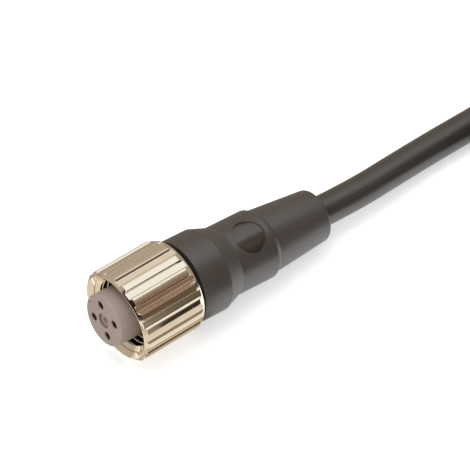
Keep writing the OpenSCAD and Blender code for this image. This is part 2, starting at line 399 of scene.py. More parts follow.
class RingRepeat(Repeat):
    """Repeats a piece round its Z axis and welds the copies into one."""

    def __init__(self) -> None:
        """Builds the tree."""
        super().__init__("ring_repeat", "Weld Distance", "Float")

    def set_points(self, place: Node) -> None:
        """Sets all points on the axis and turns the copies round it in equal steps."""
        points, index = self.add("GeometryNodePoints"), self.add("GeometryNodeInputIndex")
        step, share = self.add("ShaderNodeMath"), self.add("ShaderNodeMath")
        turn = self.add("ShaderNodeCombineXYZ")
        step.operation, share.operation = "DIVIDE", "MULTIPLY"
        step.inputs[0].default_value = math.tau
        self.link(self.given.outputs["Count"], step.inputs[1])
        self.link(index.outputs[0], share.inputs[0])
        self.link(step.outputs[0], share.inputs[1])
        self.link(share.outputs[0], turn.inputs["Z"])
        self.link(self.given.outputs["Count"], points.inputs["Count"])
        self.link(points.outputs[0], place.inputs["Points"])
        self.link(turn.outputs[0], place.inputs["Rotation"])

    def welded(self, copies: Socket) -> Socket:
        """Returns the copies, merged where they meet."""
        merge = self.add("GeometryNodeMergeByDistance")
        self.link(copies, merge.inputs["Geometry"])
        self.link(self.given.outputs["Weld Distance"], merge.inputs["Distance"])
        return merge.outputs[0]


class RowRepeat(Repeat):
    """Repeats a piece in a straight row; its step is in metres."""

    def __init__(self) -> None:
        """Builds the tree."""
        super().__init__("row_repeat", "Step", "Vector")

    def set_points(self, place: Node) -> None:
        """Sets the points in a line."""
        row = self.add("GeometryNodeMeshLine")
        self.link(self.given.outputs["Count"], row.inputs["Count"])
        self.link(self.given.outputs["Step"], row.inputs["Offset"])
        self.link(row.outputs[0], place.inputs["Points"])


# ---- finishes ----


class ShaderSheet:
    """A material's node tree, with short ways to add and link nodes."""

    def __init__(self, name: str) -> None:
        """Starts a material with a Principled BSDF."""
        self.material = bpy.data.materials.new(name)
        self.material.use_nodes = True
        self.tree = self.material.node_tree
        self.shader = self.tree.nodes["Principled BSDF"]
        self.place = self.add("ShaderNodeTexCoord").outputs["Object"]

    @staticmethod
    def fill(node: Node, values: dict[str, object]) -> None:
        """Sets a node's inputs by name, with _ for a space."""
        for name, value in values.items():
            node.inputs[name.replace("_", " ")].default_value = value

    def add(self, kind: str, **values: object) -> Node:
        """Adds a node and sets its inputs; returns the node."""
        node = self.tree.nodes.new(kind)
        self.fill(node, values)
        return node

    def effect(self, group: NodeTree, **values: object) -> Node:
        """Places a shared effect and sets its inputs; returns the node."""
        node = self.add("ShaderNodeGroup")
        node.node_tree = group
        self.fill(node, values)
        self.link(self.place, node.inputs["Place"])
        return node

    def link(self, start: Socket, end: Socket) -> None:
        """Links two sockets."""
        self.tree.links.new(start, end)

    def set(self, **values: object) -> None:
        """Sets the shader's own sockets."""
        self.fill(self.shader, values)

    def maths(self, operation: str, first: Socket, second: Socket) -> Socket:
        """Returns the sum, product or the like of two values."""
        node = self.add("ShaderNodeMath")
        node.operation = operation
        self.link(first, node.inputs[0])
        self.link(second, node.inputs[1])
        return node.outputs[0]

    def blend(self, share: Socket, low: Colour | Socket, high: Colour, kind: str = "MIX") -> Socket:
        """Mixes two colours.

        Args:
            share: Where it is 0 the first colour shows, and where it is 1 the mix.
            low: The first colour.
            high: The second colour.
            kind: How they are mixed.

        Returns:
            The colour's socket.
        """
        mix = self.add("ShaderNodeMix")
        mix.data_type, mix.blend_type = "RGBA", kind
        share_in, low_in, high_in = mix.inputs[0], mix.inputs[6], mix.inputs[7]
        high_in.default_value = (*high, 1)
        if isinstance(low, tuple):
            low_in.default_value = (*low, 1)
        else:
            self.link(low, low_in)
        self.link(share, share_in)
        return mix.outputs[2]

    def spread(self, share: Socket, low: float, high: float) -> Socket:
        """Returns a socket that runs from low to high as share runs from 0 to 1."""
        node = self.add("ShaderNodeMapRange", To_Min=low, To_Max=high)
        self.link(share, node.inputs["Value"])
        return node.outputs[0]

    def recess(self) -> Socket:
        """Returns the piece's mask: painted shade on the nut and the carrier, the round recess on the grip.
        """
        node = self.add("ShaderNodeAttribute")
        node.attribute_name = "recess"
        return node.outputs["Fac"]

    def tone_shade_and_floor(self, colour: Socket, tone: Colour) -> Socket:
        """Returns the colour, multiplied by a tone where the mask is set: painted shade on the nut and the
        carrier, the darker floor of the grip's recess.
        """
        return self.blend(self.recess(), colour, tone, "MULTIPLY")

    def relief(self, height: Socket, depth: float) -> None:
        """Lifts the surface by a height map."""
        bump = self.add("ShaderNodeBump", Strength=1.0, Distance=depth * MM)
        self.link(height, bump.inputs["Height"])
        self.link(bump.outputs[0], self.shader.inputs["Normal"])


def shaded(colour: Colour, level: float) -> Colour:
    """Returns the colour, lighter or darker by a factor."""
    return tuple(min(1.0, c * level) for c in colour)


def noise_group(name: str, stretch: Point, contrast: float) -> NodeTree:
    """Builds a shared effect: a soft noise over the surface.

    Args:
        name: The group's name.
        stretch: Scale along each axis, so that streaks can run one way.
        contrast: 0.5 for a soft noise, less for a hard one.

    Returns:
        A group with inputs Place, Scale and Detail, and outputs Value and Height.
    """
    tree = bpy.data.node_groups.new(name, "ShaderNodeTree")
    for label, way, kind in (
        ("Place", "INPUT", "Vector"), ("Scale", "INPUT", "Float"), ("Detail", "INPUT", "Float"),
        ("Value", "OUTPUT", "Float"), ("Height", "OUTPUT", "Float"),
    ):
        tree.interface.new_socket(label, in_out=way, socket_type=f"NodeSocket{kind}")
    ins, out = tree.nodes.new("NodeGroupInput"), tree.nodes.new("NodeGroupOutput")
    turn = tree.nodes.new("ShaderNodeMapping")
    turn.inputs["Scale"].default_value = stretch
    noise = tree.nodes.new("ShaderNodeTexNoise")
    level = tree.nodes.new("ShaderNodeMapRange")
    level.inputs["From Min"].default_value = 0.5 - contrast
    level.inputs["From Max"].default_value = 0.5 + contrast
    for start, end in (
        (ins.outputs["Place"], turn.inputs["Vector"]),
        (turn.outputs[0], noise.inputs["Vector"]),
        (ins.outputs["Scale"], noise.inputs["Scale"]),
        (ins.outputs["Detail"], noise.inputs["Detail"]),
        (noise.outputs[0], level.inputs["Value"]),
        (level.outputs[0], out.inputs["Value"]),
        (noise.outputs[0], out.inputs["Height"]),
    ):
        tree.links.new(start, end)
    return tree


@dataclass(frozen=True)
class Effects:
    """The effects that several finishes share."""

    mottle: NodeTree
    grain: NodeTree
    drawn: NodeTree

    @staticmethod
    def build() -> "Effects":
        """Builds the groups."""
        return Effects(
            mottle=noise_group("mottle", (1, 1, 1), 0.22),
            grain=noise_group("fine_grain", (1, 1, 1), 0.3),
            drawn=noise_group("drawn_lines", (0.04, 1, 1), 0.25),
        )


@dataclass(frozen=True)
class MouldedFinish:
    """A moulded plastic: fine grain, a faint mottle and a satin sheen."""

    name: str
    colour: Colour
    roughness: float = 0.4
    spread: float = 0.06
    grain_depth: float = 0.003
    variation: float = 0.08
    specular: float = 0.5
    # Multiplied in where the mask is set: painted shade on the carrier, the darker floor of the round recess
    # on the grip.
    shade_and_floor_tone: Colour = (1.0, 1.0, 1.0)
    deep_polish: float = 1.0

    def build(self, effects: Effects) -> Material:
        """Returns the material."""
        sheet = ShaderSheet(self.name)
        mottle = sheet.effect(effects.mottle, Scale=260.0, Detail=4.0)
        grain = sheet.effect(effects.grain, Scale=5200.0, Detail=2.0)
        dark, light = shaded(self.colour, 1 - self.variation), shaded(self.colour, 1 + self.variation)
        colour = sheet.blend(mottle.outputs["Value"], dark, light)
        sheet.link(sheet.tone_shade_and_floor(colour, self.shade_and_floor_tone), sheet.shader.inputs["Base Color"])
        low, high = self.roughness - self.spread, self.roughness + self.spread
        rough = sheet.spread(grain.outputs["Value"], low, high)
        polish = sheet.spread(sheet.recess(), 1.0, self.deep_polish)
        sheet.link(sheet.maths("MULTIPLY", rough, polish), sheet.shader.inputs["Roughness"])
        sheet.relief(grain.outputs["Height"], self.grain_depth)
        sheet.set(Specular_IOR_Level=self.specular)
        return sheet.material


@dataclass(frozen=True)
class PlatedFinish:
    """A plated metal: bright, with faint drawn lines and small clouds."""

    name: str
    colour: Colour
    cloud: Colour
    roughness: float
    spread: float = 0.05
    line_depth: float = 0.003
    # Painted shade, multiplied in where the mask is set, as in the nut's thread roots.
    shade_and_floor_tone: Colour = (0.075, 0.055, 0.042)

    def build(self, effects: Effects) -> Material:
        """Returns the material."""
        sheet = ShaderSheet(self.name)
        mottle = sheet.effect(effects.mottle, Scale=420.0, Detail=5.0)
        lines = sheet.effect(effects.drawn, Scale=2600.0, Detail=3.0)
        colour = sheet.blend(mottle.outputs["Value"], self.colour, self.cloud)
        sheet.link(sheet.tone_shade_and_floor(colour, self.shade_and_floor_tone), sheet.shader.inputs["Base Color"])
        low, high = self.roughness - self.spread, self.roughness + self.spread
        rough = sheet.spread(lines.outputs["Value"], low, high)
        sheet.link(rough, sheet.shader.inputs["Roughness"])
        sheet.relief(lines.outputs["Height"], self.line_depth)
        sheet.set(Metallic=1.0)
        return sheet.material


class FinishBook:
    """Every material of the part, by its slot."""

    def __init__(self) -> None:
        """Builds the materials."""
        effects = Effects.build()
        finishes = (
            PlatedFinish("nickel", (0.90, 0.835, 0.71), (0.86, 0.79, 0.665), 0.13, spread=0.04),
            PlatedFinish("gold_brass", (0.86, 0.64, 0.30), (0.80, 0.57, 0.25), 0.25),
            PlatedFinish("tinned_wire", (0.72, 0.71, 0.68), (0.62, 0.61, 0.59), 0.32),
            # The carrier's tone in its mask is painted shade.
            MouldedFinish("carrier_grey", (0.36, 0.282, 0.248), 0.5, variation=0.04, grain_depth=0.006,
                          shade_and_floor_tone=(0.10, 0.08, 0.07)),
            MouldedFinish("grip_black", (0.045, 0.037, 0.032), 0.38, grain_depth=0.012, specular=1.0,
                          shade_and_floor_tone=(0.9, 0.85, 0.8), deep_polish=0.55),
            MouldedFinish("cable_black", (0.032, 0.026, 0.021), 0.33, grain_depth=0.005, variation=0.05,
                          specular=1.0),
            MouldedFinish("seal_black", (0.03, 0.03, 0.03)),
            MouldedFinish("tie_black", (0.035, 0.034, 0.033), 0.42, grain_depth=0.004),
            MouldedFinish("core_brown", (0.17, 0.065, 0.03)),
            MouldedFinish("core_white", (0.78, 0.76, 0.72), variation=0.03),
            MouldedFinish("core_blue", (0.035, 0.11, 0.36)),
            MouldedFinish("core_black", (0.032, 0.031, 0.03)),
        )
        self._made = {f.name: f.build(effects) for f in finishes}

    def __getitem__(self, slot: str) -> Material:
        """Returns the material of a slot."""
        return self._made[slot]

    def dress_node(self, node: str, slot: str) -> None:
        """Gives a solid of the frame the material of a slot."""
        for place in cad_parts[node].material_slots:
            place.material = self[slot]

    def declare(self, made: Object, nodes: Sequence[str], slot: str, body: Body = Body.PLUG) -> Object:
        """Gives a finished piece its material, its body and the solids that it stands for.

        Args:
            made: The piece, in place.
            nodes: The solids that it stands for.
            slot: Its material slot.
            body: The body that it moves with.

        Returns:
            The same object.
        """
        made.data.materials.clear()
        made.data.materials.append(self[slot])
        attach(made, body.value)
        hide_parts(*nodes)
        LOG.info("%s: %s on the %s, for %s", made.name, slot, body.value, ", ".join(nodes))
        return made


# ---- the coupling nut ----


@dataclass
class CouplingNut:
    """The grooved nut with its M12 x 1 inside thread, which spins on the carrier."""

    book: FinishBook
    count: int = 18
    roll: float = 3.2
    groove_depth: float = 0.3
    floor_width: float = 1.02
    flank: float = 0.23
    soft: float = 0.045
    front: float = 2.3
    back: float = 13.5
    nose: float = 0.55
    nose_round: float = 0.2
    tail: float = 0.9
    tail_r: float = 6.92
    mouth_r: float = 6.7
    mouth_l: float = 0.68
    lead_in_r: float = 6.05
    lead_in: float = 1.4
    crest_r: float = 5.46
    root_r: float = 6.03
    thread: float = 4.6
    thread_end: float = 0.5
    thread_rows: int = 64
    pitch: float = 1.0
    tooth_foot: float = 0.88
    tooth_side: float = 0.76
    relief_r: float = 6.1
    lip_r: float = 5.05
    lip_t: float = 1.5
    lip_ease: float = 0.2
    chamfer: float = 0.06
    edge: float = 0.05
    ease: float = 0.04
    hair: float = 0.01
    # Painted shade in the thread grows from none to full between these heights over the crests.
    root_shade_from: float = 0.02
    root_shade_to: float = 0.12
    weld: float = 2e-6

    def columns(self) -> list[Pair]:
        """Returns the columns of one groove and one land, as (angle, share of the groove's depth)."""
        half = math.degrees(self.floor_width / 2 / NUT_R)
        flank = math.degrees(self.flank / NUT_R)
        soft = math.degrees(self.soft / NUT_R)
        rise = [
            (half - soft, 1.0), (half + soft * 0.4, 0.94), (half + flank * 0.5, 0.5),
            (half + flank - soft * 0.4, 0.06), (half + flank + soft, 0.0),
        ]
        floor = [(-half * 0.6, 1.0), (0.0, 1.0), (half * 0.6, 1.0)]
        left = [(-a, d) for a, d in reversed(rise)]
        land = half + flank + soft
        rest = 360 / self.count - 2 * land
        return left + floor + rise + [(land + rest * k / 4, 0.0) for k in (1, 2, 3)]

    def outside(self) -> Profile:
        """Returns the nut's outside as (radius, station), from the mouth's rim to the back's inner rim."""
        return fillet([
            (self.mouth_r, self.front + self.ease, 0), (self.mouth_r + self.ease, self.front, self.ease),
            (NUT_R - self.nose, self.front, self.nose_round), (NUT_R, self.front + self.nose, self.edge),
            (NUT_R, self.back - self.tail, self.edge), (self.tail_r, self.back, self.edge),
            (self.lip_r + self.lip_ease, self.back, 0)], steps=4)

    def rows(self) -> Profile:
        """Returns the outside's rows as (radius, station), with the long stretches cut in eight."""
        profile = self.outside()
        rows: Profile = []
        for (radius, station), (wide, following) in zip(profile, profile[1:]):
            steps = 8 if following - station > 0.1 else 1
            shares = [k / steps for k in range(steps)]
            rows += [(radius + (wide - radius) * s, station + (following - station) * s) for s in shares]
        return [*rows, profile[-1]]

    def sector(self) -> Mesh:
        """Returns one pitch of the outside."""
        columns = self.columns()
        columns.append((columns[0][0] + 360 / self.count, columns[0][1]))
        return skin("nut_sector", [
            [polar(min(radius, NUT_R - self.groove_depth * share), angle + self.roll, station)
             for angle, share in columns]
            for radius, station in self.rows()])

    def thread_radius(self, station: float, angle: float) -> float:
        """Returns the radius of the threaded bore at a station and an angle."""
        end = self.front + self.lead_in + self.thread
        turn = ((station - self.pitch * angle / 360) / self.pitch) % 1.0
        tooth = ramp(self.tooth_foot - abs(2 * turn - 1), 0.0, self.tooth_side)
        depth = self.root_r - self.crest_r
        run_out = ramp(station, end - self.thread_end, end)
        return max(self.root_r - depth * tooth, self.crest_r + depth * run_out)

    def inside(self) -> Mesh:
        """Returns the bore, with the thread, from the mouth's rim to the back's inner rim."""
        angles = [a + self.roll + 360 / self.count * k for k in range(self.count) for a, _ in self.columns()]
        start, lip = self.front + self.lead_in, self.back - self.lip_t
        end, mouth = start + self.thread, self.front + self.mouth_l
        before = [
            (self.mouth_r, self.front + self.ease), (self.mouth_r - self.ease, self.front + 2 * self.ease),
            (self.lead_in_r + self.ease / 2, mouth), (self.lead_in_r, mouth + self.ease),
            (self.lead_in_r, mouth + 4 * self.ease), (self.crest_r + self.ease, start - self.ease),
            (self.crest_r, start - self.hair)]
        after = [
            (self.relief_r, end + self.chamfer), (self.relief_r, lip - self.edge),
            (self.relief_r - self.edge, lip), (self.lip_r + self.chamfer, lip),
            (self.lip_r, lip + self.chamfer), (self.lip_r, self.back - self.lip_ease),
            (self.lip_r + self.lip_ease, self.back)]
        turns = [start + self.thread * k / self.thread_rows for k in range(self.thread_rows + 1)]
        rows = [[polar(r, a, s) for a in angles] for r, s in before]
        rows += [[polar(self.thread_radius(s, a), a, s) for a in angles] for s in turns]
        rows += [[polar(r, a, s) for a in angles] for r, s in after]
        return skin("nut_bore", rows, around=True)

    def shade(self, place: Vector) -> float:
        """Returns how deep a place lies in the thread, where painted shade darkens the plating: 1 in the
        roots.
        """
        radius = math.hypot(place.x, place.y)
        if place.z < self.front + self.lead_in - self.hair or radius > self.relief_r + self.hair:
            return 0.0
        return ramp(radius, self.crest_r + self.root_shade_from, self.crest_r + self.root_shade_to)

    def build(self) -> Object:
        """Returns the finished nut."""
        shell = RingRepeat().apply(self.sector(), self.count, self.weld, self.book["nickel"])
        mesh = joined("coupling_nut_shape", (shell, self.inside()))
        tidy(mesh, 35.0, self.weld)
        made = new_object("nut_shell", laid(mesh, NUT_AXIS, self.shade))
        return self.book.declare(made, ["coupling_nut"], "nickel", Body.NUT)


# ---- the contact carrier ----


@dataclass
class ContactCarrier:
    """The grey insulator with its four contact holes and the coding keyway."""

    book: FinishBook
    radius: float = 4.15
    flange_r: float = 5.3
    flange_front: float = 8.7
    flange_back: float = 10.7
    neck_r: float = 4.5
    length: float = 17.0
    pcd: float = 5.0
    hole_r: float = 0.65
    contact_r: float = 0.87
    contact_s: float = 1.05
    recess_r: float = 1.15
    recess_depth: float = 0.42
    gate_r: float = 0.42
    gate_height: float = 0.14
    key_width: float = 1.0
    key_depth: float = 0.65
    key_length: float = 7.05
    first_hole: float = -112.75
    outside: float = -1.0
    # Painted shade: it deepens down each contact hole, lies on the recess's wall and grows down the side into
    # the nut.
    hole_dark: Pair = (0.14, 0.36)
    side_dark: Pair = (0.9, 3.0)
    side_shade: float = 0.85
    wall_shade: float = 0.6

    def turned(self) -> Profile:
        """Returns the outline of the carrier."""
        return fillet([
            (0, 0, 0), (self.radius, 0, 0.28), (self.radius, self.flange_front, 0.05),
            (self.flange_r, self.flange_front, 0.12), (self.flange_r, self.flange_back, 0.12),
            (self.neck_r, self.flange_back, 0.05), (self.neck_r, self.length, 0.1), (0, self.length, 0)])

    def hole_cutter(self) -> Mesh:
        """Returns the shape of one contact hole, with its eased mouth."""
        r, past = self.hole_r, self.length + 1
        mouth = [(r + 0.11, -0.001), (r + 0.04, 0.06), (r, 0.16), (r, 0.3), (r, 0.42), (r, self.contact_s)]
        return revolve([
            (0, self.outside), (r + 0.3, self.outside), *mouth, (self.contact_r, self.contact_s + 0.01),
            (self.contact_r, past), (0, past)], 32)

    def keyway_cutter(self) -> Mesh:
        """Returns the shape of the keyway, with eased corners along its floor."""
        half, floor, top = self.key_width / 2, self.radius - self.key_depth, self.radius + 0.8
        outline = [(floor + 0.12, half), (floor + 0.03, half - 0.04), (floor, half - 0.14)]
        outline += [(x, -y) for x, y in reversed(outline)]
        outline += [(top, -half), (top, half)]
        stations = (self.outside, self.key_length)
        return skin("keyway", [[(x, y, s) for x, y in outline] for s in stations], around=True, ends=True)

    def recess_cutter(self) -> Mesh:
        """Returns the shape of the middle recess, with the gate mark left on its floor."""
        r, deep = self.recess_r, self.recess_depth
        return revolve([
            (0, self.outside), (r + 0.06, self.outside), (r + 0.05, 0), (r, 0.08), (r - 0.04, deep - 0.08),
            (r - 0.1, deep), (self.gate_r, deep), (self.gate_r - 0.06, deep - self.gate_height + 0.02),
            (0, deep - self.gate_height)], 48)

    def shade(self, place: Vector) -> float:
        """Returns the painted shade at a place: in the contact holes, on the recess's wall and down the side
        into the nut.
        """
        for k in range(4):
            x, y, _ = polar(self.pcd / 2, self.first_hole + 90 * k, 0)
            if math.hypot(place.x - x, place.y - y) < self.contact_r + 0.03:
                return ramp(place.z, *self.hole_dark)
        if math.hypot(place.x, place.y) < self.recess_r + 0.02:
            return self.wall_shade if 0.04 < place.z < self.recess_depth - 0.02 else 0.0
        return min(self.side_shade, ramp(place.z, *self.side_dark))

    def build(self) -> Object:
        """Returns the finished carrier."""
        cutters = [placed(self.hole_cutter(), self.first_hole + 90 * k, self.pcd / 2) for k in range(4)]
        cutters += [self.recess_cutter(), placed(self.keyway_cutter(), BODY_ROLL - 90)]
        mesh = cut_out(revolve(self.turned(), 120), cutters)
        tidy(mesh)
        made = new_object("insert", laid(mesh, BODY_AXIS, self.shade))
        return self.book.declare(made, ["contact_carrier"], "carrier_grey")


# ---- the moulded grip ----


@dataclass
class MouldedGrip:
    """The overmoulded grip with its round bare recess and the tapered sleeve."""

    book: FinishBook
    front: float = 13.9
    barrel_r: float = 6.65
    barrel_back: float = 18.9
    waist_r: float = 5.6
    waist_front: float = 21.9
    waist_back: float = 28.9
    sleeve_r: float = 5.15
    sleeve_front: float = 29.75
    end_r: float = 4.25
    end: float = 40.55
    pocket_r: float = 4.5
    pocket_end: float = 18.6
    jacket_end: float = 25.6
    dimple_r: float = 2.7
    dimple_depth: float = 0.36
    dimple_bend: float = 4.3
    dimple_slope: float = 0.12
    dimple_s: float = 25.4

    def turned(self) -> Profile:
        """Returns the outline of the grip, with the pockets for the carrier and the cable."""
        return fillet([
            (0, self.pocket_end, 0), (self.pocket_r, self.pocket_end, 0), (self.pocket_r, self.front, 0.1),
            (self.barrel_r, self.front, 0.16), (self.barrel_r, self.barrel_back, 0.15),
            (self.waist_r, self.waist_front, 0.3), (self.waist_r, self.waist_back, 0.15),
            (self.sleeve_r, self.sleeve_front, 0.15), (self.end_r, self.end, 0.5), (CABLE_R, self.end, 0.12),
            (CABLE_R, self.jacket_end, 0), (0, self.jacket_end, 0)])

    def dimple_cutter(self) -> Mesh:
        """Returns the shape of the round recess, whose smooth floor is bent round the grip and slopes."""
        r, floor, above = self.dimple_r, self.waist_r - self.dimple_depth, self.waist_r + 3.4
        rings = [(r * k / 9, floor) for k in range(9)]
        wall = [(r - 0.1, floor), (r - 0.03, floor + 0.04), (r, floor + 0.1), (r, above), (0, above)]
        mesh = revolve([*rings, *wall], 96)
        for vertex in mesh.vertices:
            if vertex.co.z < self.waist_r * MM:
                drop = self.dimple_bend - math.sqrt(self.dimple_bend ** 2 - (vertex.co.y / MM) ** 2)
                vertex.co.z -= drop * MM + self.dimple_slope * vertex.co.y
        mesh.transform(Matrix.Rotation(math.radians(90), 4, "Y"))
        mesh.transform(Matrix.Translation((0, 0, self.dimple_s * MM)))
        return placed(mesh, BODY_ROLL)

    def shade(self, place: Vector) -> float:
        """Returns 1 in the round recess, whose floor is darker and smoother."""
        near = abs(place.z - self.dimple_s) < self.dimple_r + 0.3
        return float(near and math.hypot(place.x, place.y) < self.waist_r - 0.3)

    def build(self) -> Object:
        """Returns the finished grip."""
        mesh = cut_out(revolve(self.turned(), 160), [self.dimple_cutter()])
        tidy(mesh)
        made = new_object("grip", laid(mesh, BODY_AXIS, self.shade))
        return self.book.declare(made, ["grip_body"], "grip_black")


# ---- the cable ----


@dataclass(frozen=True)
class CablePath:
    """The cable's centre line: out of the grip, down to the floor and round the hank."""

    route: tuple[Point, ...] = (
        (5.25, -0.15, 5.99), (9.5, -0.15, 5.59), (14.5, -0.15, 5.11), (20.1, -0.15, 4.58),
        (24.5, -0.14, 4.19), (28.5, -0.08, 3.88), (32, 0.08, 3.62), (35.5, 0.35, 3.36),
        (39.5, 0.65, 3.06), (43.5, 0.9, 2.8), (48.5, 1.08, 2.58), (53.5, 1.1, 2.5),
        (58.5, 1.1, 2.5), (64, 1.1, 2.5), (70, 1.1, 2.5),
    )
    mid_y: float = -18.9
    near_x: float = 70.0
    far_x: float = 115.0
    end_x: float = 105.0
    step: float = 5.0
    tie_x: float = 95.0
    laps: tuple[Pair, ...] = ((20.0, 2.5), (15.0, 2.5), (15.0, 7.5), (20.0, 7.5), (17.5, 11.83))
    strap: float = 0.8
    strap_reach: float = 14.0
    round_steps: int = 12

    def lift(self, x: float, height: float) -> float:
        """Returns the height of a run as it passes over the strap."""
        return height + self.strap * eased(1 - abs(x - self.tie_x) / self.strap_reach)

    def bend(self, x: float, low: Pair, high: Pair, start: float) -> list[Point]:
        """Lays out a lap's round end.

        Args:
            x: The middle of the round.
            low: Its radius and its height where it starts.
            high: The same where it ends.
            start: The half turn that it starts at.

        Returns:
            The points of its half turn.
        """
        points: list[Point] = []
        for k in range(self.round_steps + 1):
            share = eased(k / self.round_steps)
            radius, height = (a + (b - a) * share for a, b in zip(low, high))
            turn = math.pi * (start - k / self.round_steps)
            points.append((x + radius * math.cos(turn), self.mid_y + radius * math.sin(turn), height))
        return points

    def turns(self) -> list[Point]:
        """Returns the points of the hank, from the route's end to the jacket's end."""
        count = round((self.far_x - self.near_x) / self.step)
        run = [self.near_x + k * self.step for k in range(1, count)]
        points: list[Point] = []
        for lap, (radius, height) in enumerate(self.laps):
            last = lap == len(self.laps) - 1
            back = (run[-1], self.end_x) if last else reversed(run)
            points += [(x, self.mid_y + radius, self.lift(x, height)) for x in run]
            points += self.bend(self.far_x, self.laps[lap], self.laps[lap], 0.5)
            points += [(x, self.mid_y - radius, height) for x in back]
            if not last:
                points += self.bend(self.near_x, self.laps[lap], self.laps[lap + 1], -0.5)
        return points

    def points(self) -> list[Vector]:
        """Returns a close, smooth centre line in metres."""
        rough = [Vector(p) for p in (*self.route, *self.turns())]
        out: list[Vector] = []
        for k in range(len(rough) - 1):
            a, b = rough[max(k - 1, 0)], rough[k]
            c, d = rough[k + 1], rough[min(k + 2, len(rough) - 1)]
            for t in (0.0, 0.25, 0.5, 0.75):
                out.append(0.5 * ((2 * b) + (c - a) * t + (2 * a - 5 * b + 4 * c - d) * t * t
                                  + (3 * b - a - 3 * c + d) * t ** 3) * MM)
        out.append(rough[-1] * MM)
        return out


def tube(name: str, lines: Sequence[Sequence[Vector]], radius: float, sides: int) -> Object:
    """Adds round tubes along lines.

    Args:
        name: The object's name.
        lines: The centre lines in metres.
        radius: The tubes' radius.
        sides: Facets round each of them, an even number.

    Returns:
        A curve object with closed ends.
    """
    curve = bpy.data.curves.new(name, "CURVE")
    curve.dimensions = "3D"
    curve.bevel_depth = radius * MM
    curve.bevel_resolution = sides // 2 - 2
    curve.use_fill_caps = True
    for points in lines:
        spline = curve.splines.new("POLY")
        spline.points.add(len(points) - 1)
        for place, point in zip(spline.points, points):
            place.co = (*point, 1.0)
    return new_object(name, curve)


@dataclass
class HankTie:
    """The strap round one side of the hank, with its ratchet head and its cut-off tail."""

    book: FinishBook
    path: CablePath
    width: float = 2.5
    edge: float = 0.12
    head: Point = (4.4, 4.6, 2.6)
    head_round: float = 0.35
    window: Point = (2.0, 2.0, 0.8)
    window_shift: float = -0.1
    tail: float = 5.0
    tail_sink: float = 0.4
    rib_step: float = 0.5
    rib_count: int = 9
    rib: Point = (1.6, 0.25, 0.12)
    rib_start: float = 0.3
    rib_sink: float = 0.05
    rib_round: float = 0.04

    def loop(self) -> list[Point]:
        """Returns the strap's centre line as (y, z, angle of its outward side)."""
        thick, laps = self.path.strap, self.path.laps
        at = [Vector((self.path.mid_y + laps[k][0], laps[k][1] + thick)) for k in (1, 0, 3, 4, 2)]
        reach = CABLE_R + thick / 2
        line = []
        for k, centre in enumerate(at):
            before, after = centre - at[k - 1], at[(k + 1) % len(at)] - centre
            first = math.atan2(-before.x, before.y)
            turn = (math.atan2(-after.x, after.y) - first) % math.tau
            for j in range(9):
                angle = first + turn * j / 8
                y, z = centre.x + reach * math.cos(angle), centre.y + reach * math.sin(angle)
                line.append((y, z, angle))
        return line

    def strap(self) -> Mesh:
        """Returns the strap's closed loop, with rounded edges."""
        half, x, edge = self.path.strap / 2, self.width / 2, self.edge
        section = [(-x, -half + edge), (-x + edge, -half), (x - edge, -half), (x, -half + edge)]
        section += [(-a, -b) for a, b in section]
        return skin("strap", [
            [(self.path.tie_x + a, y + b * math.cos(angle), z + b * math.sin(angle)) for a, b in section]
            for y, z, angle in self.loop()], around=True, along=True)

    def build(self) -> Object:
        """Returns the finished tie."""
        thick, (radius, height) = self.path.strap, self.path.laps[-1]
        x, y = self.path.tie_x, self.path.mid_y + radius
        floor = height + CABLE_R + thick * 1.5
        top = floor + self.head[2]
        wide, deep, tall = (side / 2 for side in self.head)
        head = block((x - wide, y - deep, floor), (x + wide, y + deep, top), self.head_round)
        across, along, depth = self.window
        middle = y + self.window_shift
        head = cut_out(head, [block((x - across / 2, middle - along / 2, top - depth),
                                    (x + across / 2, middle + along / 2, top + 1.0))])
        low = floor + tall - thick / 2
        high, near, end = low + thick, y - deep + self.tail_sink, y - deep - self.tail
        tail = block((x - self.width / 2, end, low), (x + self.width / 2, near, high), self.edge)
        across, along, rise = self.rib
        first = end + self.rib_start
        rib = block((x - across / 2, first, high - self.rib_sink),
                    (x + across / 2, first + along, high + rise), self.rib_round)
        ribs = RowRepeat().apply(rib, self.rib_count, (0.0, self.rib_step * MM, 0.0), self.book["tie_black"])
        mesh = joined("tie_shape", (self.strap(), head, tail, ribs))
        tidy(mesh, 35.0)
        return self.book.declare(new_object("tie", mesh), ["hank_tie"], "tie_black")


